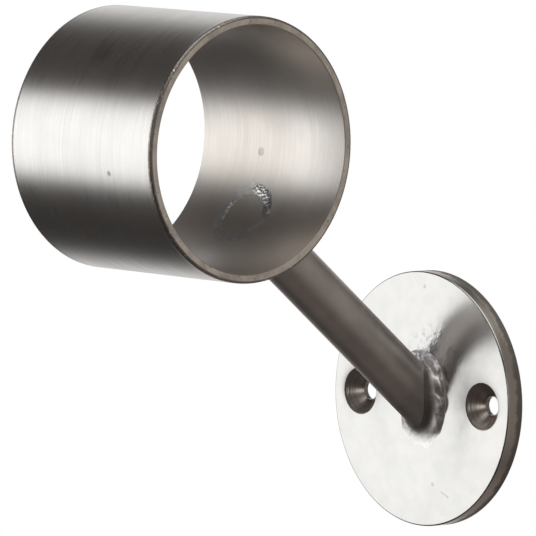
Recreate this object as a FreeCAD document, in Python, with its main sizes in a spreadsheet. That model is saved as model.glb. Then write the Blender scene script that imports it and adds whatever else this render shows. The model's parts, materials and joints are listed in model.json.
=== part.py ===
import FreeCAD, Part
import math
import os
import Sketcher

# Wall bracket for a round stair rail, as a stainless weldment: a short length of tube that
# the rail slides through, a slanted round bar, and a disc that is screwed to the wall.
#
# Frame, in millimetres: the origin is the centre of the disc's back face, +Y goes into the
# wall, +X runs along the rail and +Z is up.

doc = FreeCAD.newDocument("handrail_bracket")

# ---------------------------------------------------------------- driving sizes
SIZES = [
    ("tube_diameter", 60.3, "collar: outside diameter of the tube"),
    ("tube_wall", 2.0, "collar: wall of the tube"),
    ("collar_length", 48.5, "collar: sawn length along the rail"),
    ("collar_shift", 3.3, "collar: mid-length past the bar, along the rail"),
    ("collar_bevel", 0.6, "collar: bevel of the two outside edges"),
    ("bore_bevel", 0.2, "collar: deburring of the two bore edges"),
    ("rail_reach", 78.5, "rail axis in front of the plate's face"),
    ("rail_rise", 63.2, "rail axis above the plate's centre"),
    ("bar_diameter", 12.0, "bar: diameter"),
    ("plate_diameter", 60.0, "plate: diameter"),
    ("plate_thickness", 4.5, "plate: thickness"),
    ("plate_edge", 0.4, "plate: rounding of the front edge"),
    ("screw_spacing", 42.0, "screw holes: centre to centre"),
    ("screw_hole", 4.5, "screw holes: diameter"),
    ("sink_diameter", 11.0, "countersinks: diameter at the face"),
    ("sink_angle", 90.0, "countersinks: included angle"),
    ("groove_width", 2.4, "collar weld: width beside the bar"),
    ("groove_depth", 1.2, "collar weld: depth below the bore"),
    ("weld_crown", 0.1, "collar weld: height left proud of the bore"),
    ("scale_count", 14, "plate weld: scales round the bar"),
    ("scale_length", 5.6, "plate weld: length of one scale along the seam"),
    ("scale_step", 0.5, "plate weld: how far a scale narrows along its length"),
    ("leg_side", 3.4, "plate weld: leg at the two sides of the bar"),
    ("leg_top", 5.4, "plate weld: leg in the sharp corner above the bar"),
    ("leg_bottom", 3.0, "plate weld: leg in the wide corner below the bar"),
]
sheet = doc.addObject("Spreadsheet::Sheet", "Sizes")
for row, (alias, value, meaning) in enumerate(SIZES, start=1):
    sheet.set(f"A{row}", meaning)
    sheet.set(f"B{row}", str(value))
    sheet.setAlias(f"B{row}", alias)
doc.recompute()

# The bar's angle above the horizontal, and its length from the plate's face to the rail axis.
BAR_ANGLE = "atan2(Sizes.rail_rise; Sizes.rail_reach)"
BAR_RUN = "hypot(Sizes.rail_reach; Sizes.rail_rise)"
BORE_RADIUS = "Sizes.tube_diameter / 2 - Sizes.tube_wall"
BAR_RADIUS = "Sizes.bar_diameter / 2"

# Where sketch geometry is first drawn, before its constraints pull it into place.
START_PLACE = 50.0
START_RADIUS = 5.0

# ---------------------------------------------------------------- helpers
def bind(thing, **expressions):
    """Bind properties of one object to the sheet."""
    for name, expression in expressions.items():
        thing.setExpression(name, expression)


def set_axis(thing, axis):
    """Give an object the axis that it turns about; the angle is set after this."""
    quarter_turn = FreeCAD.Rotation(axis, 90)
    thing.Placement = FreeCAD.Placement(FreeCAD.Vector(0, 0, 0), quarter_turn)


def place_on_bar(thing, along="0"):
    """Stand an object's Z axis on the bar's axis, `along` millimetres out from the plate."""
    set_axis(thing, FreeCAD.Vector(1, 0, 0))
    thing.setExpression("Placement.Rotation.Angle", f"90 deg - {BAR_ANGLE}")
    thing.setExpression(
        "Placement.Base.y", f"-Sizes.plate_thickness - ({along}) * cos({BAR_ANGLE})"
    )
    thing.setExpression("Placement.Base.z", f"({along}) * sin({BAR_ANGLE})")


def new_body(name):
    body = doc.addObject("PartDesign::Body", name)
    body.Label = name
    return body


def sketch_on(body, role, name):
    """A sketch on one of the body's own origin planes."""
    sketch = body.newObject("Sketcher::SketchObject", name)
    plane = next(item for item in body.Origin.OriginFeatures if item.Role == role)
    sketch.AttachmentSupport = [(plane, "")]
    sketch.MapMode = "FlatFace"
    return sketch


def add_circle(sketch, diameter, along="0"):
    """A circle on the sketch's first axis, with its diameter and place bound to the sheet."""
    drawn = Part.Circle(FreeCAD.Vector(0, 0, 0), FreeCAD.Vector(0, 0, 1), START_RADIUS)
    circle = sketch.addGeometry(drawn, False)
    size = sketch.addConstraint(Sketcher.Constraint("Diameter", circle, 2 * START_RADIUS))
    sketch.setExpression(f"Constraints[{size}]", diameter)
    sketch.addConstraint(Sketcher.Constraint("PointOnObject", circle, 3, -1))
    place = sketch.addConstraint(Sketcher.Constraint("DistanceX", -1, 1, circle, 3, 0.0))
    sketch.setExpression(f"Constraints[{place}]", along)


def add_profile(sketch, corners):
    """A closed outline whose corners are pairs of expressions for the sketch's two axes."""
    count = len(corners)
    start = sketch.GeometryCount
    turns = [2 * math.pi * index / count for index in range(count + 1)]
    drawn = [
        FreeCAD.Vector(
            START_PLACE + START_RADIUS * math.cos(turn),
            START_PLACE + START_RADIUS * math.sin(turn),
            0,
        )
        for turn in turns
    ]
    for first, second in zip(drawn, drawn[1:]):
        sketch.addGeometry(Part.LineSegment(first, second), False)
    for index in range(count):
        line = start + index
        following = start + (index + 1) % count
        sketch.addConstraint(Sketcher.Constraint("Coincident", line, 2, following, 1))
    for index, (across, up) in enumerate(corners):
        line = start + index
        pair = (("DistanceX", across), ("DistanceY", up))
        for kind, expression in pair:
            held = sketch.addConstraint(
                Sketcher.Constraint(kind, -1, 1, line, 1, START_PLACE)
            )
            sketch.setExpression(f"Constraints[{held}]", expression)


def volume_after(body, feature):
    """Recompute and return the volume, so that a cut can be seen to have cut."""
    body.Tip = feature
    doc.recompute()
    return body.Shape.Volume


# ---------------------------------------------------------------- rail collar
# The tube is modelled with the bar's axis along Z and the rail along X, so that the body can
# be turned about the rail to bring the bar's hole down towards the wall plate.
def make_collar_tube():
    body = new_body("collar_tube")
    ring = sketch_on(body, "YZ_Plane", "collar_ring")
    bind(ring, **{"AttachmentOffset.Base.z": "Sizes.collar_shift"})
    add_circle(ring, "Sizes.tube_diameter")
    add_circle(ring, "Sizes.tube_diameter - 2 * Sizes.tube_wall")
    tube = body.newObject("PartDesign::Pad", "collar_pad")
    tube.Profile = ring
    tube.SideType = "Symmetric"
    bind(tube, Length="Sizes.collar_length")
    doc.recompute()

    outside = bevel_circles(body, tube, sheet.tube_diameter / 2, "collar_bevel")
    bore_radius = sheet.tube_diameter / 2 - sheet.tube_wall
    bevel_circles(body, outside, bore_radius, "bore_bevel")
    place_on_bar(body, BAR_RUN)
    return body


def bevel_circles(body, base, radius, size_name):
    """Bevel the full circles of one radius by the size of that name."""
    names = [
        f"Edge{number}"
        for number, edge in enumerate(base.Shape.Edges, start=1)
        if isinstance(edge.Curve, Part.Circle) and math.isclose(edge.Curve.Radius, radius)
    ]
    bevel = body.newObject("PartDesign::Chamfer", f"{size_name}_edges")
    bevel.Base = (base, names)
    bind(bevel, Size=f"Sizes.{size_name}")
    doc.recompute()
    return bevel


# ---------------------------------------------------------------- shared cutting forms
def bar_cylinder(name, radius, start, length):
    """A cylinder on the bar's axis, from `start` out from the plate's face."""
    cylinder = doc.addObject("Part::Cylinder", name)
    bind(cylinder, Radius=radius, Height=length)
    place_on_bar(cylinder, start)
    return cylinder


def rail_cylinder(name, radius):
    """A cylinder on the rail's axis, as long as the collar, about the bar's place."""
    cylinder = doc.addObject("Part::Cylinder", name)
    bind(cylinder, Radius=radius, Height="Sizes.collar_length")
    set_axis(cylinder, FreeCAD.Vector(0, 1, 0))
    bind(
        cylinder,
        **{
            "Placement.Base.x": "-Sizes.collar_length / 2",
            "Placement.Base.y": "-Sizes.plate_thickness - Sizes.rail_reach",
            "Placement.Base.z": "Sizes.rail_rise",
        },
    )
    return cylinder


def wall_block(name):
    """The space behind the plate's front face, as wide as the plate."""
    block = doc.addObject("Part::Box", name)
    bind(
        block,
        Length="Sizes.plate_diameter",
        Width="Sizes.plate_diameter",
        Height="Sizes.plate_diameter",
        **{
            "Placement.Base.x": "-Sizes.plate_diameter / 2",
            "Placement.Base.y": "-Sizes.plate_thickness",
            "Placement.Base.z": "-Sizes.plate_diameter / 2",
        },
    )
    return block


def boolean(kind, name, base, tool):
    """A Part::Cut or Part::Common of two objects."""
    result = doc.addObject(f"Part::{kind}", name)
    result.Base = base
    result.Tool = tool
    result.Label = name
    return result


# ---------------------------------------------------------------- wall plate
def make_wall_plate():
    body = new_body("wall_plate")
    outline = sketch_on(body, "XZ_Plane", "plate_outline")
    add_circle(outline, "Sizes.plate_diameter")
    disc = body.newObject("PartDesign::Pad", "plate_disc")
    disc.Profile = outline
    bind(disc, Length="Sizes.plate_thickness")
    doc.recompute()

    # The pad grows along the sketch's normal, -Y, so its front edge is the circle there.
    front_y = -sheet.plate_thickness
    front_edge = [
        f"Edge{number}"
        for number, edge in enumerate(disc.Shape.Edges, start=1)
        if isinstance(edge.Curve, Part.Circle) and math.isclose(edge.Curve.Center.y, front_y)
    ]
    rounding = body.newObject("PartDesign::Fillet", "plate_front_edge")
    rounding.Base = (disc, front_edge)
    bind(rounding, Radius="Sizes.plate_edge")
    before = volume_after(body, rounding)

    # One countersunk screw hole turned about its own axis, and its twin across the plate.
    half_hole = "Sizes.screw_hole / 2"
    half_sink = "Sizes.sink_diameter / 2"
    sink_depth = f"({half_sink} - {half_hole}) / tan(Sizes.sink_angle / 2)"
    profile = sketch_on(body, "XY_Plane", "screw_hole_profile")
    bind(profile, **{"AttachmentOffset.Base.x": "Sizes.screw_spacing / 2"})
    add_profile(
        profile,
        [
            ("0", "0"),
            (half_hole, "0"),
            (half_hole, f"-Sizes.plate_thickness + {sink_depth}"),
            (half_sink, "-Sizes.plate_thickness"),
            ("0", "-Sizes.plate_thickness"),
        ],
    )
    hole = body.newObject("PartDesign::Groove", "screw_hole_right")
    hole.Profile = profile
    hole.ReferenceAxis = (profile, ["V_Axis"])
    hole.Angle = 360
    one_hole = before - volume_after(body, hole)

    twin = body.newObject("PartDesign::Mirrored", "screw_hole_left")
    twin.Originals = [hole]
    plane = next(item for item in body.Origin.OriginFeatures if item.Role == "YZ_Plane")
    twin.MirrorPlane = (plane, [""])
    two_holes = before - volume_after(body, twin)
    if one_hole <= 0 or not math.isclose(two_holes, 2 * one_hole, rel_tol=1e-4):
        raise RuntimeError("the plate's screw holes are not cut")
    return body


# ---------------------------------------------------------------- support arm
def make_support_arm():
    """Round bar: mitred flat on the plate's face, passed through the collar's wall and
    dressed flush with the bore."""
    bar = bar_cylinder(
        "bar_stock", BAR_RADIUS, "-Sizes.bar_diameter", f"{BAR_RUN} + Sizes.bar_diameter"
    )
    mitred = boolean("Cut", "bar_mitred", bar, wall_block("plate_side"))
    return boolean("Cut", "support_arm", mitred, rail_cylinder("bore_cope", BORE_RADIUS))


# ---------------------------------------------------------------- collar and its weld
def make_collar_and_weld():
    """The weld fills a groove that is sunk in the bore round the bar's end, and is dressed
    almost flush. Collar and weld are cut from the same forms, so one seats in the other."""
    zone_start = f"{BAR_RUN} - Sizes.tube_diameter / 2 - Sizes.groove_depth"
    zone_radius = f"{BAR_RADIUS} + Sizes.groove_width"
    column = bar_cylinder("weld_column", zone_radius, zone_start, "Sizes.tube_diameter / 4")
    sunk_bore = rail_cylinder("weld_floor", f"{BORE_RADIUS} + Sizes.groove_depth")
    zone = boolean("Common", "weld_zone", column, sunk_bore)
    drill = bar_cylinder("bar_drill", BAR_RADIUS, zone_start, "Sizes.tube_diameter / 2")

    drilled = boolean("Cut", "collar_drilled", make_collar_tube(), drill)
    collar = boolean("Cut", "rail_collar", drilled, zone)

    filled = boolean("Cut", "weld_round_bar", zone, drill)
    dressing = rail_cylinder("weld_dressing", f"{BORE_RADIUS} - Sizes.weld_crown")
    weld = boolean("Cut", "collar_weld", filled, dressing)
    return collar, weld


# ---------------------------------------------------------------- plate weld
def make_plate_weld():
    """Fillet weld laid as overlapping scales along the oval seam between bar and plate. Each
    scale is a short cone on the seam's line, so that its wide end stands proud of the next
    one's narrow end. The bar and the plate cut the scales, which seats them."""
    middle = "(Sizes.leg_top + Sizes.leg_bottom) / 2"
    half_length = "Sizes.scale_length / 2"
    scales = []
    for index in range(round(sheet.scale_count)):
        turn = f"(360 * {index} / Sizes.scale_count)"
        # The leg grows smoothly from the bottom of the seam, over its sides, to its top.
        leg = (
            f"(Sizes.leg_side + ({middle} - Sizes.leg_side) * sin({turn}) ^ 2"
            f" + (Sizes.leg_top - Sizes.leg_bottom) / 2 * sin({turn}) * abs(sin({turn})))"
        )
        seam_x = f"{BAR_RADIUS} * cos({turn})"
        seam_z = f"{BAR_RADIUS} / cos({BAR_ANGLE}) * sin({turn})"
        # The seam's direction here, as an angle about Y from +Z towards +X.
        heading = f"atan2(-sin({turn}); cos({turn}) / cos({BAR_ANGLE}))"
        scale = doc.addObject("Part::Cone", f"weld_scale_{index + 1:02d}")
        set_axis(scale, FreeCAD.Vector(0, 1, 0))
        bind(
            scale,
            Radius1=leg,
            Radius2=f"{leg} - Sizes.scale_step",
            Height="Sizes.scale_length",
            **{
                "Placement.Base.x": f"{seam_x} - {half_length} * sin({heading})",
                "Placement.Base.y": "-Sizes.plate_thickness",
                "Placement.Base.z": f"{seam_z} - {half_length} * cos({heading})",
                "Placement.Rotation.Angle": heading,
            },
        )
        scales.append(scale)
    bead = doc.addObject("Part::MultiFuse", "weld_bead")
    bead.Shapes = scales
    core = bar_cylinder(
        "weld_core", BAR_RADIUS, "-Sizes.bar_diameter", "3 * Sizes.bar_diameter"
    )
    on_bar = boolean("Cut", "bead_round_bar", bead, core)
    return boolean("Cut", "plate_weld", on_bar, wall_block("weld_side"))


# ---------------------------------------------------------------- build, check and write
rail_collar, collar_weld = make_collar_and_weld()
parts = [rail_collar, make_support_arm(), make_wall_plate(), make_plate_weld(), collar_weld]
doc.recompute()

for item in doc.Objects:
    if "Invalid" in item.State or "Error" in item.State:
        raise RuntimeError(f"{item.Name} failed: {item.getStatusString()}")
for item in parts:
    shape = item.Shape
    if shape.isNull() or not shape.isValid() or len(shape.Solids) != 1:
        raise RuntimeError(f"{item.Label} is not one valid solid")

os.makedirs("parts", exist_ok=True)
for item in parts:
    item.Shape.exportStep(f"parts/{item.Label}.step")
    print(f"{item.Label}: {item.Shape.Volume / 1000:.3f} cm3")
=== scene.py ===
import json
import math

import bmesh
import bpy
from mathutils import Matrix, Vector, noise


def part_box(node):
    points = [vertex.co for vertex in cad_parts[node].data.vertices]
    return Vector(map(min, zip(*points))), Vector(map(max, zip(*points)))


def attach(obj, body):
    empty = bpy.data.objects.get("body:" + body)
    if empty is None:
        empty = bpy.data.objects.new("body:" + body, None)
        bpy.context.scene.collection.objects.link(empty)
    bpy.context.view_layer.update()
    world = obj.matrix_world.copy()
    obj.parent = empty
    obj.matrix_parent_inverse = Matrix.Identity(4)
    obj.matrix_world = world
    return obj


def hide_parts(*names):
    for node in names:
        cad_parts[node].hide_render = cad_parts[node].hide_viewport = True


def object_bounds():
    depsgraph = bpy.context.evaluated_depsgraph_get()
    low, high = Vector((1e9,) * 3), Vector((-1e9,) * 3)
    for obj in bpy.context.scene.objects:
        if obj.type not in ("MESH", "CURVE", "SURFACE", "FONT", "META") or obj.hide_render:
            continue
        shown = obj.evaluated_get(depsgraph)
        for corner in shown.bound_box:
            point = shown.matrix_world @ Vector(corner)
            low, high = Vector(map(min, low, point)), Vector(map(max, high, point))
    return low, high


bl_info = {
    "name": "Stair Rail Bracket",
    "version": (1, 0, 0),
    "blender": (4, 5, 0),
    "location": "3D View > Sidebar > Bracket",
    "description": "Dresses a welded stair rail bracket and sets it in a soft studio",
    "category": "Object",
}

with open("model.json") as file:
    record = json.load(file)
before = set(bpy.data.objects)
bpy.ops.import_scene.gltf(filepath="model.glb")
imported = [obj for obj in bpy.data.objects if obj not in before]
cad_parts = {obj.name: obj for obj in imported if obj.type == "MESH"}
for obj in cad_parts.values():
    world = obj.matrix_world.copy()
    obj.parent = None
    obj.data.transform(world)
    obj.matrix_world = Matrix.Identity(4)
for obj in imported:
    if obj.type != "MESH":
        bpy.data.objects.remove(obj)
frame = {"record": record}
cad_low, cad_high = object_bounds()

# ------------------------------------------------------------------ places from the frame
MM = 0.001
MOUNTS = {mount["name"]: mount for mount in frame["record"]["mounts"]}
COLLAR_LOW, COLLAR_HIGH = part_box("rail_collar")
PLATE_LOW, PLATE_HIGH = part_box("wall_plate")
BAR_LOW, BAR_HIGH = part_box("support_arm")
COLLAR_CENTRE = Vector(MOUNTS["rail_bore"]["pos_m"])
BORE_RADIUS = MOUNTS["rail_bore"]["dims"]["r_mm"] * MM
SCREW_OFFSET = MOUNTS["screw_holes"]["dims"]["spacing_x_mm"] * MM / 2
SCREW_RADIUS = MOUNTS["screw_holes"]["dims"]["hole_r_mm"] * MM
BAR_RADIUS = (BAR_HIGH.x - BAR_LOW.x) / 2
BAR_FOOT = Vector((0.0, PLATE_LOW.y, 0.0))
BAR_HEAD = Vector((0.0, COLLAR_CENTRE.y, COLLAR_CENTRE.z))
BAR_AXIS = (BAR_HEAD - BAR_FOOT).normalized()
# The two directions square to the bar: level along the rail, and away from the wall below.
BAR_SIDE = Vector((1.0, 0.0, 0.0))
BAR_UNDER = BAR_SIDE.cross(BAR_AXIS)

# Directions of the bracket's own frame: along the rail, into the wall and up.
ALONG_RAIL = BAR_SIDE
INTO_WALL = Vector((0.0, 1.0, 0.0))
UP = Vector((0.0, 0.0, 1.0))


def at(x, y, z):
    """A place in the bracket's own frame, from millimetres."""
    return Vector((x, y, z)) * MM


def on_plate(x, z):
    """A place on the plate's face, from millimetres along the rail and up."""
    return Vector((x * MM, PLATE_LOW.y, z * MM))


# Marks of use and of making: where they lie.
SMUDGE_PLACE = at(0.7, -104.4, 84.5)
TUBE_PIT = at(12.8, -112.7, 58.1)
BORE_PIT = at(-0.8, -55.0, 60.0)
BROWN_PLACE = at(-4.8, -56.6, 53.6)
BAR_HEAD_IN_BORE = at(1.8, -61.3, 45.3)
BURNT_PLACE = at(6.8, -58.6, 49.0)
SPATTER_PLACE = on_plate(4.0, 10.5)
# Two nicks on the plate's face, and a short scratch as a row of smaller ones.
NICK_SIZE = 0.7 * MM
NICK_PLACES = (on_plate(0.7, 26.5), on_plate(4.6, -19.8))
SCRATCH_SIZE = 0.45 * MM
SCRATCH_PLACES = tuple(on_plate(7.8 + 0.7 * step, -21.4 - 0.3 * step) for step in range(4))
# Crumbs of rough metal on the dressed weld, painted bright as glints: place, size and closeness
# of each group.
BRIGHT_CRUMBS = (
    (at(1.6, -57.7, 50.8), 2.6 * MM, 0.40),
    (at(4.6, -58.5, 49.4), 2.4 * MM, 0.06),
    (at(7.6, -60.0, 47.0), 1.1 * MM, 0.14),
    (at(-5.8, -59.5, 47.8), 1.2 * MM, 0.30),
    (at(-6.0, -60.6, 46.3), 1.2 * MM, 0.25),
    (at(-5.8, -61.8, 44.8), 1.2 * MM, 0.20),
)
# Rough metal left on the dressed weld: turn round the bar and its reach, radius and its
# width, and height.
ROUGH_SPOTS = (
    (math.radians(293), math.radians(18), 7.0 * MM, 0.9 * MM, 0.32 * MM),
    (math.radians(332), math.radians(20), 7.3 * MM, 0.9 * MM, 0.12 * MM),
    (math.radians(190), math.radians(22), 6.4 * MM, 0.35 * MM, 0.20 * MM),
)

# Marks of use and of making, and painted shade, glints and reflection: their colours.
SMUDGE_COLOUR = (0.30, 0.28, 0.27)
PIT_COLOUR = (0.16, 0.15, 0.14)
GREY_STAIN = (0.62, 0.635, 0.60)
BROWN_STAIN = (0.50, 0.42, 0.35)
# Painted shade on the bore towards one end, above and below the axis.
PAINTED_END_SHADE = (0.40, 0.35, 0.31)
BLUE_STAIN = (0.52, 0.555, 0.57)
BURNT_STAIN = (0.24, 0.235, 0.27)
HEAT_STAIN = (0.34, 0.32, 0.36)
# Painted glints: bright grains on the bevelled edges and on the dressed weld's crumbs.
PAINTED_GLINT = (0.85, 0.84, 0.82)
# Painted shade in the hollow between the plate weld's bead and the bar.
HOLLOW_SHADE = (0.20, 0.18, 0.17)
# Pale crust above the plate weld, and a painted reflection where the weld is painted pale below
# the bar.
PALE_CRUST_AND_SHEEN = (0.74, 0.73, 0.72)

# The plate weld's relief, and its four places round the bar as weights for `around`.
QUARTERS = ((1, 0, 0, 0), (0, 1, 0, 0), (0, 0, 1, 0), (0, 0, 0, 1))
BELOW_BAR = QUARTERS[1]
LUMP_HEIGHT = 1.10 * MM
HOLLOW_DEPTH = 0.25 * MM
CRUST_HEIGHT = 0.30 * MM
# Where the bead and the hollow lie across the weld, from plate (0) to bar (1), and their widths.
BEAD_PLACE, BEAD_WIDTH = 0.31, 0.19
HOLLOW_PLACE, HOLLOW_WIDTH = 0.72, 0.22
# How far the ends of a lump run ahead of its middle, and how uneven the lumps are in length.
LUMP_BOW = 3.6
LUMP_DRIFT = 0.30
# How much the weld's width varies all round, and its reach on the plate below the bar.
WANDER = 0.10
SPILL = 0.28
# Repeats a metre of the plate weld's crust, coarse and fine, and of the dressed weld's.
COARSE_CRUST, FINE_CRUST = 900, 1500
DRESSED_CRUST = 1700

# How finely the meshes are divided: round each piece, and across its bends or its length.
TUBE_COUNT = 384
BAR_COUNT = 192
HOLE_COUNT = 128
PLATE_WELD_COUNT, PLATE_WELD_ROWS = 900, 48
COLLAR_WELD_COUNT, COLLAR_WELD_ROWS = 600, 40
BEND_STEPS = 6
BAR_SPANS = 24
BAR_END_STEPS = 8
SHARP_ANGLE = math.radians(28)
SAME_PLACE = 1e-7

# The studio, in metres, and the camera's sensor in millimetres.
BACKDROP_RADIUS = 4.0
FLOOR_RADIUS = 3.9
CAMERA_REACH = 30.0
SENSOR_WIDTH = 36.0


# ------------------------------------------------------------------ settings
class BracketSizes(bpy.types.PropertyGroup):
    """Sizes of the bracket's pieces that the frame doesn't give by itself."""

    tube_wall: bpy.props.FloatProperty(
        name="Tube wall", description="Wall of the collar's tube",
        default=2.0 * MM, subtype="DISTANCE", unit="LENGTH",
    )
    collar_bevel: bpy.props.FloatProperty(
        name="Collar bevel", description="Bevel of the collar's outside edges",
        default=0.6 * MM, subtype="DISTANCE", unit="LENGTH",
    )
    bore_bevel: bpy.props.FloatProperty(
        name="Bore bevel", description="Deburring of the collar's bore edges",
        default=0.2 * MM, subtype="DISTANCE", unit="LENGTH",
    )
    plate_edge: bpy.props.FloatProperty(
        name="Plate edge", description="Rounding of the plate's front edge",
        default=0.4 * MM, subtype="DISTANCE", unit="LENGTH",
    )
    sink_radius: bpy.props.FloatProperty(
        name="Countersink", description="Radius of a countersink at the plate's face",
        default=5.5 * MM, subtype="DISTANCE", unit="LENGTH",
    )
    plate_legs: bpy.props.FloatVectorProperty(
        name="Weld on the plate", size=4, default=(2.7 * MM, 3.7 * MM, 1.0 * MM, 4.0 * MM),
        description="Legs of the plate weld beside, below, behind and above the bar",
        unit="LENGTH",
    )
    bar_legs: bpy.props.FloatVectorProperty(
        name="Weld on the bar", size=4, default=(6.2 * MM, 1.8 * MM, 1.2 * MM, 1.4 * MM),
        description="How far the plate weld climbs the bar at the same four places",
        unit="LENGTH",
    )
    ripple_pitch: bpy.props.FloatProperty(
        name="Ripple pitch", description="Length of one ripple of the plate weld",
        default=3.6 * MM, subtype="DISTANCE", unit="LENGTH",
    )
    dressed_radius: bpy.props.FloatProperty(
        name="Dressed weld", description="Radius of the dressed weld in the bore",
        default=8.4 * MM, subtype="DISTANCE", unit="LENGTH",
    )


class BracketFinish(bpy.types.PropertyGroup):
    """Colours of the bracket's steel."""

    steel: bpy.props.FloatVectorProperty(
        name="Steel", description="Colour of the brushed steel", subtype="COLOR",
        size=3, default=(0.62, 0.607, 0.592), min=0.0, max=1.0,
    )
    bore: bpy.props.FloatVectorProperty(
        name="Bore", description="Colour of the tube's unpolished inside",
        subtype="COLOR", size=3, default=(0.73, 0.70, 0.672), min=0.0, max=1.0,
    )
    sawn: bpy.props.FloatVectorProperty(
        name="Sawn end", description="Colour of the tube's sawn ends", subtype="COLOR",
        size=3, default=(0.86, 0.80, 0.73), min=0.0, max=1.0,
    )
    # The bevelled edges' dark colour is painted shade.
    edge: bpy.props.FloatVectorProperty(
        name="Broken edge", description="Colour of the tube's bevelled edges",
        subtype="COLOR", size=3, default=(0.30, 0.27, 0.25), min=0.0, max=1.0,
    )
    rim: bpy.props.FloatVectorProperty(
        name="Rim", description="Colour of the plate's punched rim", subtype="COLOR",
        size=3, default=(0.40, 0.365, 0.33), min=0.0, max=1.0,
    )
    bar: bpy.props.FloatVectorProperty(
        name="Bar", description="Colour of the drawn round bar", subtype="COLOR",
        size=3, default=(0.62, 0.575, 0.55), min=0.0, max=1.0,
    )
    plate: bpy.props.FloatVectorProperty(
        name="Plate", description="Colour of the plate's satin face", subtype="COLOR",
        size=3, default=(0.51, 0.506, 0.497), min=0.0, max=1.0,
    )
    sink: bpy.props.FloatVectorProperty(
        name="Countersink", description="Colour of the turned countersinks",
        subtype="COLOR", size=3, default=(0.70, 0.64, 0.59), min=0.0, max=1.0,
    )
    weld: bpy.props.FloatVectorProperty(
        name="Weld", description="Colour of the weld metal", subtype="COLOR",
        size=3, default=(0.86, 0.82, 0.80), min=0.0, max=1.0,
    )
    heat_tint: bpy.props.FloatVectorProperty(
        name="Heat tint", description="Colour that welding leaves on the steel",
        subtype="COLOR", size=3, default=(0.60, 0.58, 0.68), min=0.0, max=1.0,
    )


class StudioSettings(bpy.types.PropertyGroup):
    """Camera and light of the studio."""

    azimuth: bpy.props.FloatProperty(
        name="Azimuth", description="Turn of the camera from straight in front",
        default=math.radians(48.27), subtype="ANGLE", unit="ROTATION",
    )
    elevation: bpy.props.FloatProperty(
        name="Elevation", description="Height of the camera above level",
        default=math.radians(5.10), subtype="ANGLE", unit="ROTATION",
    )
    roll: bpy.props.FloatProperty(
        name="Roll", description="Lean of the camera about its own line of sight",
        default=math.radians(0.92), subtype="ANGLE", unit="ROTATION",
    )
    distance: bpy.props.FloatProperty(
        name="Distance", description="Camera's distance from the point it aims at",
        default=1.735, subtype="DISTANCE", unit="LENGTH",
    )
    aim: bpy.props.FloatVectorProperty(
        name="Aim", description="Point that the camera aims at", size=3,
        default=(0.06 * MM, -53.2 * MM, 33.1 * MM), subtype="XYZ", unit="LENGTH",
    )
    lens: bpy.props.FloatProperty(
        name="Lens", description="Focal length on a 36 mm sensor, in millimetres",
        default=506.6, subtype="DISTANCE_CAMERA",
    )
    floor_drop: bpy.props.FloatProperty(
        name="Floor drop", description="Height of the bracket above the floor",
        default=0.25, subtype="DISTANCE", unit="LENGTH",
    )


# ------------------------------------------------------------------ node helpers
class Signal:
    """One output in a node tree. Arithmetic on it adds Math nodes to the tree."""

    def __init__(self, shade, socket):
        self.shade = shade
        self.socket = socket

    def math(self, operation, *values):
        return self.shade.node(
            "ShaderNodeMath", {"operation": operation}, dict(enumerate(values))
        )

    def __add__(self, other):
        return self.math("ADD", self, other)

    def __radd__(self, other):
        return self.math("ADD", other, self)

    def __sub__(self, other):
        return self.math("SUBTRACT", self, other)

    def __rsub__(self, other):
        return self.math("SUBTRACT", other, self)

    def __mul__(self, other):
        return self.math("MULTIPLY", self, other)

    def __rmul__(self, other):
        return self.math("MULTIPLY", other, self)

    def __truediv__(self, other):
        return self.math("DIVIDE", self, other)

    def __rtruediv__(self, other):
        return self.math("DIVIDE", other, self)

    def __pow__(self, other):
        return self.math("POWER", self, other)

    def __rpow__(self, other):
        return self.math("POWER", other, self)

    def __abs__(self):
        return self.math("ABSOLUTE", self)

    def rise(self, start, end):
        """0 where the value is at start or before, 1 at end or past it, smooth between."""
        return self.shade.node(
            "ShaderNodeMapRange",
            {"interpolation_type": "SMOOTHSTEP"},
            {"Value": self, "From Min": start, "From Max": end},
        )


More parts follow.
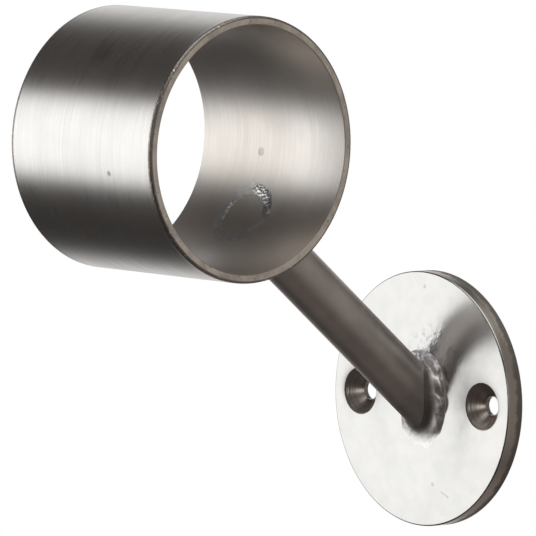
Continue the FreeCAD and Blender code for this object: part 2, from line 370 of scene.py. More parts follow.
class Shade:
    """Builds one node tree."""

    def __init__(self, tree):
        self.tree = tree
        tree.nodes.clear()

    def node(self, kind, settings=None, values=None, output=0):
        """Add a node: its settings first, then its sockets' values or links."""
        made = self.tree.nodes.new(kind)
        for name, setting in (settings or {}).items():
            setattr(made, name, setting)
        for name, value in (values or {}).items():
            if isinstance(value, Signal):
                self.tree.links.new(value.socket, made.inputs[name])
            else:
                made.inputs[name].default_value = value
        return Signal(self, made.outputs[output]) if made.outputs else None

    def place(self):
        """The point on the surface in the bracket's own frame, in metres."""
        return self.node("ShaderNodeTexCoord", output="Object")

    def move(self, vector, offset):
        """A point moved by an offset."""
        return self.node(
            "ShaderNodeVectorMath", {"operation": "ADD"}, {0: vector, 1: tuple(offset)}
        )

    def stretch(self, vector, scale):
        """A point with each axis scaled by its own number."""
        return self.node(
            "ShaderNodeVectorMath", {"operation": "MULTIPLY"}, {0: vector, 1: scale}
        )

    def along(self, vector, direction):
        """How far a point lies along a direction."""
        return self.node(
            "ShaderNodeVectorMath", {"operation": "DOT_PRODUCT"},
            {0: vector, 1: tuple(direction)}, output="Value",
        )

    def away(self, vector, place):
        """Distance of a point from a place."""
        return self.node(
            "ShaderNodeVectorMath", {"operation": "DISTANCE"},
            {0: vector, 1: tuple(place)}, output="Value",
        )

    def grain(self, vector, scale, detail=3.0, roughness=0.5):
        """Noise from 0 to 1, with one scale for all axes or one for each."""
        if not isinstance(scale, tuple):
            scale = (scale, scale, scale)
        return self.node(
            "ShaderNodeTexNoise", {},
            {
                "Vector": self.stretch(vector, scale),
                "Scale": 1.0, "Detail": detail, "Roughness": roughness,
            },
        )

    def waves(self, value, scale, detail):
        """Noise from 0 to 1 that follows one value."""
        return self.node(
            "ShaderNodeTexNoise", {"noise_dimensions": "1D"},
            {"W": value, "Scale": scale, "Detail": detail},
        )

    def spot(self, point, place, size, ragged, full):
        """1 at a place and 0 at `size` from it or past that. The signal `ragged` moves the
        edge to and fro, and `full` is the share of the size where the value starts to fall."""
        return 1 - (self.away(point, place) / size + ragged).rise(full, 1.0)

    def mix(self, factor, first, second):
        """A colour between two colours."""
        return self.node(
            "ShaderNodeMix", {"data_type": "RGBA"},
            {0: factor, 6: opaque(first), 7: opaque(second)}, output=2,
        )

    def bump(self, height, distance):
        """Normal of a surface whose relief is a height times a distance."""
        return self.node("ShaderNodeBump", {}, {"Height": height, "Distance": distance})


def opaque(colour):
    """A colour with its alpha, or the signal that gives one."""
    if isinstance(colour, Signal):
        return colour
    return (*colour[:3], 1.0)


def darker(colour, share):
    """A share of a colour."""
    return tuple(share * channel for channel in colour)


def steel_material(name, tone, gloss, relief):
    """Metal from three functions that give its colour, its roughness and its normal."""
    material = bpy.data.materials.new(name)
    material.use_nodes = True
    shade = Shade(material.node_tree)
    base = shade.node(
        "ShaderNodeBsdfPrincipled", {},
        {
            "Base Color": opaque(tone(shade)),
            "Metallic": 1.0,
            "Roughness": gloss(shade),
            "Normal": relief(shade),
        },
    )
    shade.node("ShaderNodeOutputMaterial", {}, {"Surface": base})
    return material


# ------------------------------------------------------------------ materials
def girth_brushed(name, colour, roughness, depth, marked):
    """Tube or bore brushed round its girth, so that the lines follow the rail's circle. The
    function `marked` adds its own stains to the colour and its dents to the height."""

    def tone(shade):
        point = shade.place()
        cloud = shade.grain(point, 60, 4.0)
        lines = shade.grain(point, (5200, 50, 50), 2.0)
        dark = darker(colour, 0.84)
        metal = shade.mix((cloud * 0.5 + lines * 0.5).rise(0.3, 0.7), dark, colour)
        return marked(shade, point, metal)[0]

    def gloss(shade):
        point = shade.place()
        lines = shade.grain(point, (2600, 40, 40), 3.0)
        cloud = shade.grain(point, 90, 3.0)
        return roughness - 0.08 + lines * 0.10 + cloud * 0.06

    def relief(shade):
        point = shade.place()
        fine = shade.grain(point, (7000, 60, 60), 2.0)
        dents = marked(shade, point, colour)[1]
        return shade.bump(fine * 0.7 + dents, depth)

    return steel_material(name, tone, gloss, relief)


def tube_marks(shade, point, metal):
    """Polished outside: a greasy smudge, a small pit, and bright grains where the brushing
    stops at one end."""
    blur = shade.grain(point, 500, 3.0)
    smudge = shade.spot(point, SMUDGE_PLACE, 4.5 * MM, blur - 0.5, 0.35)
    metal = shade.mix(smudge * 0.35, metal, SMUDGE_COLOUR)
    pit = shade.spot(point, TUBE_PIT, 0.85 * MM, (blur - 0.5) * 1.2, 0.4)
    metal = shade.mix(pit * 0.7, metal, PIT_COLOUR)
    x = shade.along(point, ALONG_RAIL)
    end = x.rise(COLLAR_HIGH.x - 1.8 * MM, COLLAR_HIGH.x - 0.7 * MM)
    grains = shade.grain(point, (3600, 2400, 2400), 2.0)
    specks = shade.grain(point, (3300, 2800, 2800), 1.0).rise(0.72, 0.80)
    return metal, end * grains * 12.0 + specks * 1.5


def bore_marks(shade, point, metal):
    """Unpolished inside: brown and grey stains round the dressed weld, painted shade towards one
    end above and below, and one small pit."""
    blur = shade.grain(point, 260, 4.0)
    patches = shade.grain(point, (800, 1300, 1300), 4.0).rise(0.36, 0.62)
    near = shade.spot(point, BAR_HEAD_IN_BORE, 15 * MM, blur - 0.5, 0.45)
    metal = shade.mix(near * (0.15 + patches * 0.55), metal, GREY_STAIN)
    brown = shade.spot(point, BROWN_PLACE, 26 * MM, (blur - 0.5) * 0.4, 0.2)
    metal = shade.mix(brown * 0.3, metal, BROWN_STAIN)
    by_end = shade.along(point, ALONG_RAIL).rise(0.0, COLLAR_HIGH.x)
    height = shade.along(point, UP) - (COLLAR_HIGH.z + COLLAR_LOW.z) / 2
    # Painted shade: the bore darkened towards one end, above and below the level of the axis.
    end_shade = by_end * abs(height).rise(8 * MM, 20 * MM)
    metal = shade.mix(end_shade * 0.75, metal, PAINTED_END_SHADE)
    pit = shade.spot(point, BORE_PIT, 1.1 * MM, (blur - 0.5) * 1.2, 0.4)
    metal = shade.mix(pit * 0.35, metal, PIT_COLOUR)
    return metal, pit * -5.0


def sawn_material(name, colour):
    """Matt sawn end of the tube."""

    def tone(shade):
        point = shade.place()
        patch = shade.grain(point, 250, 4.0)
        dark = darker(colour, 0.72)
        metal = shade.mix(patch.rise(0.32, 0.62), dark, colour)
        speck = shade.grain(point, 1400, 2.0).rise(0.66, 0.74)
        return shade.mix(speck * 0.8, metal, PIT_COLOUR)

    def gloss(shade):
        return 0.42 + shade.grain(shade.place(), 900, 3.0) * 0.16

    def relief(shade):
        point = shade.place()
        saw = shade.grain(point, (600, 2600, 260), 2.0)
        return shade.bump(saw, 0.03 * MM)

    return steel_material(name, tone, gloss, relief)


def edge_material(name, colour):
    """Bevelled edge: painted dark as shade, with painted glints in bright grains."""

    def grains(shade):
        return shade.grain(shade.place(), (2600, 1900, 1900), 2.0)

    def tone(shade):
        # Painted shade: the bevel's dark colour; painted glints: the bright grains.
        return shade.mix(grains(shade).rise(0.62, 0.69), colour, PAINTED_GLINT)

    def gloss(shade):
        return 0.40 - grains(shade).rise(0.62, 0.69) * 0.15

    def relief(shade):
        return shade.bump(grains(shade), 0.10 * MM)

    return steel_material(name, tone, gloss, relief)


def bar_material(name, colour):
    """Drawn bar: faint lines along its length."""

    def tone(shade):
        point = shade.place()
        cloud = shade.grain(point, 140, 4.0)
        dark = darker(colour, 0.84)
        return shade.mix(cloud.rise(0.3, 0.7), dark, colour)

    def gloss(shade):
        return 0.42 + shade.grain(shade.place(), 400, 3.0) * 0.12

    def relief(shade):
        point = shade.place()
        across = shade.along(point, BAR_SIDE)
        under = shade.along(point, BAR_UNDER)
        down = shade.along(point, BAR_AXIS)
        turned = shade.node(
            "ShaderNodeCombineXYZ", {}, {0: across, 1: under, 2: down}
        )
        lines = shade.grain(turned, (3000, 3000, 90), 2.0)
        return shade.bump(lines, 0.012 * MM)

    return steel_material(name, tone, gloss, relief)


def plate_material(name, colour):
    """Satin face with faint mottling, spatter above the weld, nicks and a scratch."""

    def tone(shade):
        point = shade.place()
        cloud = shade.grain(point, 260, 5.0, 0.6)
        dark = darker(colour, 0.96)
        metal = shade.mix(cloud.rise(0.35, 0.65), dark, colour)
        tint = shade.grain(point, 620, 4.0).rise(0.50, 0.60)
        metal = shade.mix(spattered(shade, point) * tint * 0.8, metal, HEAT_STAIN)
        nicks = 0.0
        for places, size in ((NICK_PLACES, NICK_SIZE), (SCRATCH_PLACES, SCRATCH_SIZE)):
            for place in places:
                nicks = nicks + shade.spot(point, place, size, 0.0, 0.3)
        return shade.mix(nicks * 0.35, metal, PIT_COLOUR)

    def gloss(shade):
        return 0.19 + shade.grain(shade.place(), 320, 4.0) * 0.08

    def relief(shade):
        point = shade.place()
        mottle = shade.grain(point, 420, 4.0)
        grit = shade.grain(point, 900, 3.0)
        return shade.bump(mottle + spattered(shade, point) * grit * 9.0, 0.012 * MM)

    return steel_material(name, tone, gloss, relief)


def spattered(shade, point):
    """1 on the plate's face just above the weld, 0 away from it."""
    ragged = shade.grain(point, 350, 4.0)
    away = shade.away(point, SPATTER_PLACE) / (10 * MM) + (ragged - 0.5) * 0.8
    behind = shade.along(point, INTO_WALL).rise(PLATE_LOW.y, PLATE_LOW.y + 1 * MM)
    return (1 - away.rise(0.35, 0.95)) * (1 - behind)


def rim_material(name, colour):
    """Punched rim: smooth near the face, torn and darker towards the back."""

    def depth(shade):
        point = shade.place()
        ragged = shade.grain(point, (500, 200, 500), 3.0)
        back = shade.along(point, INTO_WALL) / (PLATE_HIGH.y - PLATE_LOW.y) + 1.0
        return (back + (ragged - 0.5) * 0.5).rise(0.45, 0.75)

    def tone(shade):
        dark = darker(colour, 0.55)
        return shade.mix(depth(shade), colour, dark)

    def gloss(shade):
        return 0.30 + depth(shade) * 0.25

    def relief(shade):
        point = shade.place()
        tear = shade.grain(point, (900, 260, 900), 4.0)
        return shade.bump(tear * depth(shade), 0.12 * MM)

    return steel_material(name, tone, gloss, relief)


def turned_material(name, colour):
    """Countersink with turning rings round its own screw hole, and painted shade on the hole's
    wall.
    """

    def radius(shade):
        point = shade.place()
        side = abs(shade.along(point, ALONG_RAIL)) - SCREW_OFFSET
        height = shade.along(point, UP)
        return (side * side + height * height) ** 0.5

    def tone(shade):
        rings = shade.waves(radius(shade), 2200.0, 2.0)
        dark = darker(colour, 0.75)
        # Painted shade: the hole's wall darkened.
        hole = darker(colour, 0.45)
        cone = radius(shade).rise(SCREW_RADIUS, SCREW_RADIUS + 0.1 * MM)
        return shade.mix(cone, hole, shade.mix(rings.rise(0.35, 0.65), dark, colour))

    def gloss(shade):
        return 0.26 + shade.grain(shade.place(), 300, 2.0) * 0.06

    def relief(shade):
        rings = shade.waves(radius(shade), 2600.0, 1.0)
        outer = radius(shade).rise(4.2 * MM, 5.2 * MM)
        return shade.bump(rings * (0.25 + outer * 0.75), 0.05 * MM)

    return steel_material(name, tone, gloss, relief)


def weld_material(name, colour, tint):
    """Weld metal with a fine grain: painted shade in the hollow against the bar, pale and tinted
    by heat above it, and painted pale below it as a reflection as bright as the plate."""

    def ragged_height(shade, point):
        ragged = (shade.grain(point, 500, 2.0) - 0.5) * (3 * MM)
        return shade.along(point, UP) + ragged

    def above(shade, point):
        return ragged_height(shade, point).rise(6.5 * MM, 10.0 * MM)

    def below(shade, point):
        return (0 - ragged_height(shade, point)).rise(5.6 * MM, 8.0 * MM)

    def tone(shade):
        point = shade.place()
        cloud = shade.grain(point, 500, 4.0)
        dark = darker(colour, 0.7)
        metal = shade.mix(cloud.rise(0.35, 0.65), dark, colour)
        # Painted shade in the hollow between the bead and the bar.
        hollow_shade = 1 - off_bar(shade, point).rise(6.2 * MM, 7.2 * MM)
        metal = shade.mix(hollow_shade * 0.85, metal, HOLLOW_SHADE)
        blotch = shade.grain(point, 700, 3.0).rise(0.45, 0.60)
        crust = shade.mix(blotch, PALE_CRUST_AND_SHEEN, tint)
        metal = shade.mix(above(shade, point), metal, crust)
        # Painted reflection: the weld painted pale below the bar, as bright as the plate.
        return shade.mix(below(shade, point) * 0.9, metal, PALE_CRUST_AND_SHEEN)

    def gloss(shade):
        point = shade.place()
        grain = shade.grain(point, 900, 4.0)
        return 0.42 + grain * 0.20 + above(shade, point) * 0.05 - below(shade, point) * 0.13

    def relief(shade):
        point = shade.place()
        crust = shade.grain(point, 1300, 4.0)
        return shade.bump(crust * (1 - below(shade, point) * 0.85), 0.05 * MM)

    return steel_material(name, tone, gloss, relief)


def off_bar(shade, point):
    """Distance from the bar's axis."""
    placed = shade.move(point, -BAR_FOOT)
    across = shade.along(placed, BAR_SIDE)
    under = shade.along(placed, BAR_UNDER)
    return (across * across + under * under) ** 0.5


def dressed_material(name, colour):
    """Dressed weld: the bore's metal with blue-grey patches, and painted glints on the crumbs
    where it is rough.
    """

    def tone(shade):
        point = shade.place()
        cloud = shade.grain(point, 420, 4.0)
        dark = darker(colour, 0.80)
        metal = shade.mix(cloud.rise(0.35, 0.65), dark, colour)
        patch = shade.grain(point, (600, 900, 900), 4.0).rise(0.36, 0.60)
        metal = shade.mix(patch * 0.65, metal, BLUE_STAIN)
        burnt = shade.spot(point, BURNT_PLACE, 4.5 * MM, cloud - 0.5, 0.3)
        metal = shade.mix(burnt * 0.8, metal, BURNT_STAIN)
        # Painted glints on the rough crumbs.
        return shade.mix(crumbs_and_glints(shade, point), metal, PAINTED_GLINT)

    def gloss(shade):
        return 0.30 + shade.grain(shade.place(), 900, 4.0) * 0.20

    def relief(shade):
        point = shade.place()
        crust = shade.grain(point, 1500, 4.0)
        return shade.bump(crust + crumbs_and_glints(shade, point) * crust * 2.0, 0.03 * MM)

    return steel_material(name, tone, gloss, relief)


def crumbs_and_glints(shade, point):
    """1 on the crumbs of rough metal that the dressing has left, where glints are painted, 0
    elsewhere.
    """
    crumbs = shade.grain(point, (900, 1400, 1400), 3.0)
    spots = 0.0
    for place, size, closeness in BRIGHT_CRUMBS:
        near = 1 - (shade.away(point, place) / size).rise(0.2, 1.0)
        spots = spots + near * (crumbs + near * closeness).rise(0.54, 0.64)
    return spots.math("MINIMUM", spots, 1.0)


def glow_material(name, colour):
    """Plain light surface for the stage."""
    material = bpy.data.materials.new(name)
    material.use_nodes = True
    shade = Shade(material.node_tree)
    glow = shade.node("ShaderNodeEmission", {}, {"Color": opaque(colour), "Strength": 1.0})
    shade.node("ShaderNodeOutputMaterial", {}, {"Surface": glow})
    return material


# ------------------------------------------------------------------ mesh helpers
def finish_mesh(name, bm, materials):
    """Turn a bmesh into a linked object with smooth faces and sharp creases."""
    bmesh.ops.remove_doubles(bm, verts=bm.verts, dist=SAME_PLACE)
    bmesh.ops.recalc_face_normals(bm, faces=bm.faces)
    for face in bm.faces:
        face.smooth = True
    for edge in bm.edges:
        edge.smooth = edge.calc_face_angle(0.0) < SHARP_ANGLE
    mesh = bpy.data.meshes.new(name)
    bm.to_mesh(mesh)
    bm.free()
    for material in materials:
        mesh.materials.append(material)
    made = bpy.data.objects.new(name, mesh)
    bpy.context.scene.collection.objects.link(made)
    return made


def add_ring(bm, points):
    """New vertices at the points of a ring."""
    return [bm.verts.new(point) for point in points]


def full_turn(count):
    """Angles of a full turn in equal steps."""
    return [2 * math.pi * index / count for index in range(count)]


def join_rings(bm, first, second, finish=0):
    """Quads between two closed rings of the same count."""
    count = len(first)
    for index in range(count):
        after = (index + 1) % count
        face = bm.faces.new((first[index], first[after], second[after], second[index]))
        face.material_index = finish


def skin_rings(bm, rings, finishes):
    """Quads between each ring and the next, with a finish for each strip."""
    for (first, second), finish in zip(zip(rings, rings[1:]), finishes):
        join_rings(bm, first, second, finish)


def rail_circle(x, radius, count):
    """Points of a circle about the rail's axis."""
    return [
        COLLAR_CENTRE + Vector((x, -radius * math.cos(turn), radius * math.sin(turn)))
        for turn in full_turn(count)
    ]


def wall_circle(centre_x, y, radius, count):
    """Points of a circle parallel to the wall."""
    return [
        Vector((centre_x + radius * math.cos(turn), y, radius * math.sin(turn)))
        for turn in full_turn(count)
    ]


def off_axis(turn):
    """Direction away from the bar's axis: turn 0 faces along the rail."""
    return BAR_SIDE * math.cos(turn) + BAR_UNDER * math.sin(turn)


def on_bar(radius, turn, along):
    """A point round the bar's axis."""
    return BAR_FOOT + off_axis(turn) * radius + BAR_AXIS * along


def bore_along(radius, turn):
    """How far along the bar a line beside its axis meets the bore."""
    across = radius * math.sin(turn)
    run = (BAR_HEAD - BAR_FOOT).length
    return run - math.sqrt(BORE_RADIUS ** 2 - across ** 2)


def face_along(radius, turn):
    """How far along the bar a line beside its axis meets the plate's face."""
    return -off_axis(turn).y * radius / BAR_AXIS.y


def on_bore(radius, turn, height):
    """A point of the bore's surface round the bar's axis, at a height above that surface."""
    return on_bar(radius, turn, bore_along(radius, turn) + height)


def rounded_edge(steps):
    """How far a rounded edge has gone along and across, as shares, at each step of it."""
    angles = (step / steps * math.pi / 2 for step in range(steps + 1))
    return [(1 - math.sin(angle), 1 - math.cos(angle)) for angle in angles]


def stands_for(piece, node):
    """The piece replaces a CAD node: it rides with the root body, and the node is hidden."""
    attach(piece, "root")
    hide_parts(node)


# ------------------------------------------------------------------ pieces
def build_collar(sizes, finish):
    """Tube section, turned as one closed profile."""
    half = (COLLAR_HIGH.x - COLLAR_LOW.x) / 2
    outer = BORE_RADIUS + sizes.tube_wall
    bevel = sizes.collar_bevel
    inner_bevel = sizes.bore_bevel
    # Half of the profile, from mid-length outside to mid-length inside: place, radius, and the
    # finish of the strip that leads there (0 brushed, 1 bore, 2 sawn end, 3 broken edge).
    side = [(0.0, outer, 0), (half * 0.5, outer, 0), (half - bevel * 1.6, outer, 0)]
    for along, across in rounded_edge(BEND_STEPS):
        side.append((half - bevel * along, outer - bevel * across, 3))
    side.append((half, BORE_RADIUS + inner_bevel, 2))
    for across, along in rounded_edge(BEND_STEPS)[1:]:
        side.append((half - inner_bevel * along, BORE_RADIUS + inner_bevel * across, 1))
    side += [(half * 0.5, BORE_RADIUS, 1), (0.0, BORE_RADIUS, 1)]
    other_side = [(-x, radius, kind) for x, radius, kind in side[-2:0:-1]]
    bm = bmesh.new()
    rings = [
        add_ring(bm, rail_circle(x, radius, TUBE_COUNT)) for x, radius, kind in side + other_side
    ]
    rings.append(rings[0])
    kinds = [kind for x, radius, kind in side[1:]]
    skin_rings(bm, rings, kinds + kinds[::-1])
    made = finish_mesh(
        "collar_tube", bm,
        [
            girth_brushed("brushed_tube", finish.steel, 0.29, 0.005 * MM, tube_marks),
            girth_brushed("tube_bore", finish.bore, 0.40, 0.012 * MM, bore_marks),
            sawn_material("sawn_end", finish.sawn),
            edge_material("broken_edge", finish.edge),
        ],
    )
    stands_for(made, "rail_collar")


def build_bar(finish):
    """Round bar from the plate's face to the bore, where it is dressed to the bore's curve."""
    turns = full_turn(BAR_COUNT)
    bm = bmesh.new()
    rings = []
    for span in range(BAR_SPANS + 1):
        share = span / BAR_SPANS
        points = []
        for turn in turns:
            low = face_along(BAR_RADIUS, turn)
            high = bore_along(BAR_RADIUS, turn)
            points.append(on_bar(BAR_RADIUS, turn, low + (high - low) * share))
        rings.append(add_ring(bm, points))
    # The dressed end (finish 1) follows the bore, in rings that close on the bar's axis.
    for step in range(BAR_END_STEPS - 1, 0, -1):
        inner = BAR_RADIUS * step / BAR_END_STEPS
        rings.append(add_ring(bm, [on_bore(inner, turn, 0.0) for turn in turns]))
    skin_rings(bm, rings, [0] * BAR_SPANS + [1] * (BAR_END_STEPS - 1))
    tip = bm.verts.new(on_bore(0.0, 0.0, 0.0))
    last = rings[-1]
    for index in range(BAR_COUNT):
        face = bm.faces.new((last[index], last[(index + 1) % BAR_COUNT], tip))
        face.material_index = 1
    bm.faces.new(rings[0])
    made = finish_mesh(
        "round_bar", bm,
        [
            bar_material("drawn_bar", finish.bar),
            girth_brushed("dressed_end", finish.bore, 0.40, 0.012 * MM, bore_marks),
        ],
    )
    stands_for(made, "support_arm")


def build_plate(sizes, finish):
    """Disc with a rounded front edge and two countersunk holes. The finishes of its strips are
    0 for the face, 1 for the rim and 2 for a countersink."""
    radius = (PLATE_HIGH.x - PLATE_LOW.x) / 2
    front = PLATE_LOW.y
    back = PLATE_HIGH.y
    back_bevel = 0.1 * MM
    bm = bmesh.new()
    rims = [
        (front + sizes.plate_edge * along, radius - sizes.plate_edge * across)
        for along, across in rounded_edge(BEND_STEPS)
    ]
    rims = [add_ring(bm, wall_circle(0.0, y, across, TUBE_COUNT)) for y, across in rims][::-1]
    for y, across in ((back - back_bevel, radius), (back, radius - back_bevel)):
        rims.append(add_ring(bm, wall_circle(0.0, y, across, TUBE_COUNT)))
    skin_rings(bm, rims, [0] * BEND_STEPS + [1, 1])
    front_loops = [rims[0]]
    back_loops = [rims[-1]]
    lip = 0.12 * MM
    sink_depth = sizes.sink_radius - SCREW_RADIUS
    section = (
        (sizes.sink_radius + lip, front),
        (sizes.sink_radius, front + lip * 0.4),
        (SCREW_RADIUS, front + sink_depth),
        (SCREW_RADIUS, back),
    )
    for side in (-SCREW_OFFSET, SCREW_OFFSET):
        rings = [add_ring(bm, wall_circle(side, y, across, HOLE_COUNT)) for across, y in section]
        skin_rings(bm, rings, [2, 2, 2])
        front_loops.append(rings[0])
        back_loops.append(rings[-1])
    for loops in (front_loops, back_loops):
        edges = [
            bm.edges.get((vertex, after))
            for loop in loops for vertex, after in zip(loop, loop[1:] + loop[:1])
        ]
        bmesh.ops.triangle_fill(bm, edges=edges, use_beauty=True)
    made = finish_mesh(
        "screw_plate", bm,
        [
            plate_material("satin_face", finish.plate),
            rim_material("punched_rim", finish.rim),
            turned_material("turned_sink", finish.sink),
        ],
    )
    stands_for(made, "wall_plate")


def around(turn, quarters):
    """A value that changes smoothly round the bar, through four values a quarter apart."""
    place = turn / (math.pi / 2) % 4
    first = int(place)
    share = (1 - math.cos(math.pi * (place - first))) / 2
    return quarters[first] * (1 - share) + quarters[(first + 1) % 4] * share


def build_plate_weld(sizes, finish):
    """Fillet weld round the bar's foot: a bead of lumps on the plate beside the bar with a
    hollow between it and the bar, smooth below the bar and crusty above it."""
    count = PLATE_WELD_COUNT
    rows = PLATE_WELD_ROWS
    turns = full_turn(count)
    seam = [on_bar(BAR_RADIUS, turn, face_along(BAR_RADIUS, turn)) for turn in turns]
    travelled = [0.0]
    for point, after in zip(seam, seam[1:] + seam[:1]):
        travelled.append(travelled[-1] + (after - point).length)
    ripples = round(travelled[-1] / sizes.ripple_pitch)
    bm = bmesh.new()
    rings = [[] for row in range(rows + 1)]
    for index, turn in enumerate(turns):
        ahead = seam[(index + 1) % count] - seam[index - 1]
        out = Vector((ahead.z, 0.0, -ahead.x)).normalized()
        if out.dot(seam[index] - BAR_FOOT) < 0:
            out = -out
        # Noise that is read round a circle closes on itself.
        heading = Vector((math.cos(turn), math.sin(turn), 0.3))
        drift = LUMP_DRIFT * noise.noise(heading * 3.1)
        phase = travelled[index] / travelled[-1] * ripples + drift
        wander = noise.noise(heading * 2.2)
        spill = SPILL * noise.noise(heading * 5.0) * around(turn, BELOW_BAR)
        leg = around(turn, sizes.plate_legs) * (1.0 + WANDER * wander + spill)
        climb = around(turn, sizes.bar_legs) * (1.0 - WANDER * wander)
        foot = seam[index] + out * leg
        head = seam[index] + BAR_AXIS * climb
        slope = (head - foot).normalized()
        normal = (BAR_AXIS + out - slope * slope.dot(BAR_AXIS + out)).normalized()
        beside, below, behind, above = (around(turn, unit) for unit in QUARTERS)
        # The section is straight where the pull is 0, and follows plate and bar where it is 1.
        pull = 0.10 + 0.15 * beside + 0.88 * below
        corner = foot.lerp(head, 0.5).lerp(seam[index], pull)
        for row in range(rows + 1):
            share = row / rows
            point = foot.lerp(corner, share).lerp(corner.lerp(head, share), share)
            # The relief fades at both edges of the weld, and almost wholly below the bar.
            fade = min(1.0, 3.2 * math.sin(math.pi * share)) * (1 - 0.9 * below)
            bead = math.exp(-((share - BEAD_PLACE) / BEAD_WIDTH) ** 2)
            hollow = math.exp(-((share - HOLLOW_PLACE) / HOLLOW_WIDTH) ** 2)
            # Each lump is bowed, and steeper on one side.
            saw = (phase + LUMP_BOW * (share - 0.30) ** 2) % 1.0
            lump = 0.5 - 0.5 * math.cos(2 * math.pi * saw ** 0.8)
            coarse = noise.noise(point * COARSE_CRUST)
            crust = coarse * above + 0.2 * noise.noise(point * FINE_CRUST)
            swell = (0.35 + 0.65 * lump) * beside + 0.2 * behind + 0.15 * above
            height = bead * swell * LUMP_HEIGHT - hollow * HOLLOW_DEPTH + crust * CRUST_HEIGHT
            rings[row].append(bm.verts.new(point + normal * (height * fade)))
    skin_rings(bm, rings, [0] * rows)
    # The underside follows the plate and the bar back to the seam, a little sunk in both.
    sunk = 0.15 * MM
    under = [
        bm.verts.new(point + Vector((0, sunk, 0)) + (BAR_FOOT - point).normalized() * sunk)
        for point in seam
    ]
    join_rings(bm, rings[-1], under)
    join_rings(bm, under, rings[0])
    made = finish_mesh(
        "rippled_weld", bm, [weld_material("weld_metal", finish.weld, finish.heat_tint)]
    )
    stands_for(made, "plate_weld")


def build_collar_weld(sizes, finish):
    """Weld round the bar's end in the bore, dressed nearly flush: rough metal is left in one
    patch above, and in a thin streak beside it."""
    inner = BAR_RADIUS - 0.3 * MM
    outer = sizes.dressed_radius
    cover = 0.004 * MM
    sunk = 0.4 * MM
    turns = full_turn(COLLAR_WELD_COUNT)
    rows = COLLAR_WELD_ROWS
    bm = bmesh.new()
    rings = [[] for row in range(rows + 1)]
    for turn in turns:
        heading = Vector((math.cos(turn), math.sin(turn), 0))
        edge = outer + 0.35 * MM * noise.noise(heading * 1.7)
        for row in range(rows + 1):
            share = row / rows
            radius = inner + (edge - inner) * share
            arch = math.sin(math.pi * share)
            crust = max(0.0, 0.35 + 1.5 * noise.noise(heading * radius * DRESSED_CRUST))
            height = cover + arch * crust * leftover(turn, radius)
            rings[row].append(bm.verts.new(on_bore(radius, turn, height)))
    # The underside lies below the bore's surface.
    for radius in (outer - 0.4 * MM, inner):
        rings.append(add_ring(bm, [on_bore(radius, turn, -sunk) for turn in turns]))
    rings.append(rings[0])
    skin_rings(bm, rings, [0] * (rows + 3))
    made = finish_mesh(
        "dressed_weld", bm, [dressed_material("dressed_metal", finish.bore)],
    )
    stands_for(made, "collar_weld")


def leftover(turn, radius):
    """Height of the rough metal left by the dressing, at a place round the bar."""
    height = 0.0
    for middle, reach, place, width, rise in ROUGH_SPOTS:
        away = (turn - middle + math.pi) % (2 * math.pi) - math.pi
        height += rise * math.exp(-((away / reach) ** 2) - ((radius - place) / width) ** 2)
    return height


# ------------------------------------------------------------------ studio
def facing(azimuth, elevation):
    """Direction towards a place in the studio: azimuth 0 is in front, 90 along the rail."""
    return Vector(
        (
            math.sin(azimuth) * math.cos(elevation),
            -math.cos(azimuth) * math.cos(elevation),
            math.sin(elevation),
        )
    )


# Soft panels of light or dark round a dim warm room: azimuth and elevation of the panel's
# middle, its inner and outer reach, all in degrees, and its colour. Each lies over the last.
ROOM = (0.055, 0.046, 0.042)
PANELS = {
    "wall beside the rail": ((120, 0), (15, 62), (0.36, 0.335, 0.31)),
    "lamp overhead": ((90, 76), (32, 42), (1.3, 1.29, 1.26)),
    "table below": ((90, -86), (15, 35), (0.14, 0.12, 0.11)),
    "table behind": ((-170, -52), (12, 35), (0.33, 0.30, 0.28)),
    "table front": ((-80, -48), (10, 38), (0.045, 0.041, 0.039)),
    "white backdrop": ((-132, 0), (18, 45), (1.0, 0.99, 0.98)),
    "lamp by the camera": ((42, 6), (6, 15), (1.4, 1.36, 1.31)),
    "soft box": ((-48.4, 0.6), (16.5, 29), (1.85, 1.85, 1.83)),
}


def light_world():
    """Surroundings as seen in the steel: a dim room with soft panels."""
    world = bpy.data.worlds.new("soft_studio")
    bpy.context.scene.world = world
    world.use_nodes = True
    shade = Shade(world.node_tree)
    direction = shade.node("ShaderNodeTexCoord", output="Generated")
    glow = ROOM
    for (azimuth, elevation), (inner, outer), colour in PANELS.values():
        centre = facing(math.radians(azimuth), math.radians(elevation))
        near = shade.along(direction, centre)
        reach = near.rise(math.cos(math.radians(outer)), math.cos(math.radians(inner)))
        glow = shade.mix(reach, glow, colour)
    light = shade.node("ShaderNodeBackground", {}, {"Color": glow})
    shade.node("ShaderNodeOutputWorld", {}, {"Surface": light})


def hide_from_light(thing):
    """Seen by the camera alone."""
    thing.visible_glossy = False
    thing.visible_diffuse = False
    thing.visible_transmission = False
    thing.visible_shadow = False


def build_stage(studio):
    """Plain white floor and backdrop."""
    white = glow_material("studio_white", (1.0, 1.0, 1.0))
    bm = bmesh.new()
    bmesh.ops.create_uvsphere(bm, u_segments=64, v_segments=32, radius=BACKDROP_RADIUS)
    backdrop = finish_mesh("backdrop", bm, [white])
    bm = bmesh.new()
    bmesh.ops.create_circle(bm, cap_ends=True, segments=64, radius=FLOOR_RADIUS)
    floor = finish_mesh("floor", bm, [white])
    floor.location.z = cad_low.z - studio.floor_drop
    for thing in (backdrop, floor):
        hide_from_light(thing)


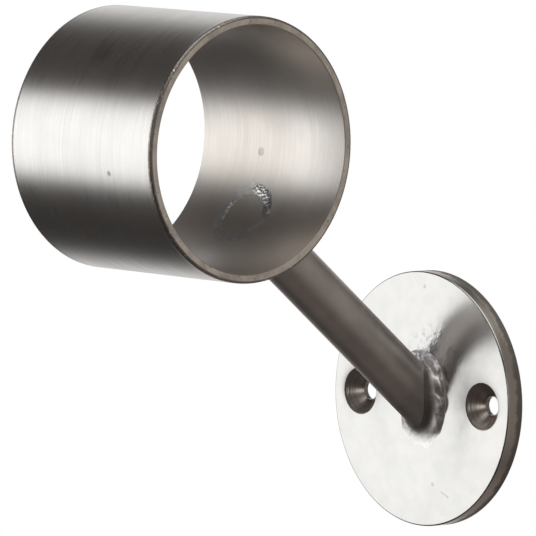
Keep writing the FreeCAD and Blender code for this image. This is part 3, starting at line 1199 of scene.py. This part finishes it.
def build_camera(studio):
    """Camera at the studio's viewing angle, rolled a little about its line of sight."""
    camera = bpy.data.objects.new("camera", bpy.data.cameras.new("camera"))
    bpy.context.scene.collection.objects.link(camera)
    camera.data.sensor_width = SENSOR_WIDTH
    camera.data.lens = studio.lens
    camera.data.clip_end = CAMERA_REACH
    back = facing(studio.azimuth, studio.elevation)
    level_right = Vector((0, 0, 1)).cross(back).normalized()
    level_up = back.cross(level_right)
    right = level_right * math.cos(studio.roll) + level_up * math.sin(studio.roll)
    up = back.cross(right)
    turn = Matrix((right, up, back)).transposed().to_4x4()
    camera.matrix_world = Matrix.Translation(Vector(studio.aim) + back * studio.distance) @ turn
    bpy.context.scene.camera = camera


# ------------------------------------------------------------------ operators and panel
class BRACKET_OT_collar(bpy.types.Operator):
    """Build the tube collar that the rail slides through"""

    bl_idname = "bracket.collar"
    bl_label = "Rail Collar"

    def execute(self, context):
        build_collar(context.scene.bracket_sizes, context.scene.bracket_finish)
        return {"FINISHED"}


class BRACKET_OT_bar(bpy.types.Operator):
    """Build the slanted round bar"""

    bl_idname = "bracket.bar"
    bl_label = "Support Arm"

    def execute(self, context):
        build_bar(context.scene.bracket_finish)
        return {"FINISHED"}


class BRACKET_OT_plate(bpy.types.Operator):
    """Build the wall plate with its countersunk holes"""

    bl_idname = "bracket.plate"
    bl_label = "Wall Plate"

    def execute(self, context):
        build_plate(context.scene.bracket_sizes, context.scene.bracket_finish)
        return {"FINISHED"}


class BRACKET_OT_welds(bpy.types.Operator):
    """Build the rippled weld at the plate and the dressed weld in the bore"""

    bl_idname = "bracket.welds"
    bl_label = "Welds"

    def execute(self, context):
        build_plate_weld(context.scene.bracket_sizes, context.scene.bracket_finish)
        build_collar_weld(context.scene.bracket_sizes, context.scene.bracket_finish)
        return {"FINISHED"}


class BRACKET_OT_studio(bpy.types.Operator):
    """Set the camera, floor, backdrop and soft light"""

    bl_idname = "bracket.studio"
    bl_label = "Studio"

    def execute(self, context):
        light_world()
        build_stage(context.scene.bracket_studio)
        build_camera(context.scene.bracket_studio)
        context.scene.view_settings.view_transform = "Standard"
        return {"FINISHED"}


class BRACKET_PT_sidebar(bpy.types.Panel):
    """Sizes, colours and steps of the bracket"""

    bl_idname = "BRACKET_PT_sidebar"
    bl_label = "Stair Rail Bracket"
    bl_space_type = "VIEW_3D"
    bl_region_type = "UI"
    bl_category = "Bracket"

    def draw(self, context):
        for group in ("bracket_sizes", "bracket_finish", "bracket_studio"):
            settings = getattr(context.scene, group)
            box = self.layout.box()
            for name in settings.__annotations__:
                box.prop(settings, name)
        for operator in OPERATORS:
            self.layout.operator(operator.bl_idname)


SETTINGS = {
    "bracket_sizes": BracketSizes,
    "bracket_finish": BracketFinish,
    "bracket_studio": StudioSettings,
}
OPERATORS = (
    BRACKET_OT_collar, BRACKET_OT_bar, BRACKET_OT_plate, BRACKET_OT_welds, BRACKET_OT_studio,
)


def register():
    for group in (*SETTINGS.values(), *OPERATORS, BRACKET_PT_sidebar):
        bpy.utils.register_class(group)
    for name, group in SETTINGS.items():
        setattr(bpy.types.Scene, name, bpy.props.PointerProperty(type=group))


def unregister():
    for name in SETTINGS:
        delattr(bpy.types.Scene, name)
    for group in (BRACKET_PT_sidebar, *reversed(OPERATORS), *SETTINGS.values()):
        bpy.utils.unregister_class(group)


def main():
    register()
    bpy.ops.bracket.collar()
    bpy.ops.bracket.bar()
    bpy.ops.bracket.plate()
    bpy.ops.bracket.welds()
    bpy.ops.bracket.studio()


if __name__ == "__main__":
    main()
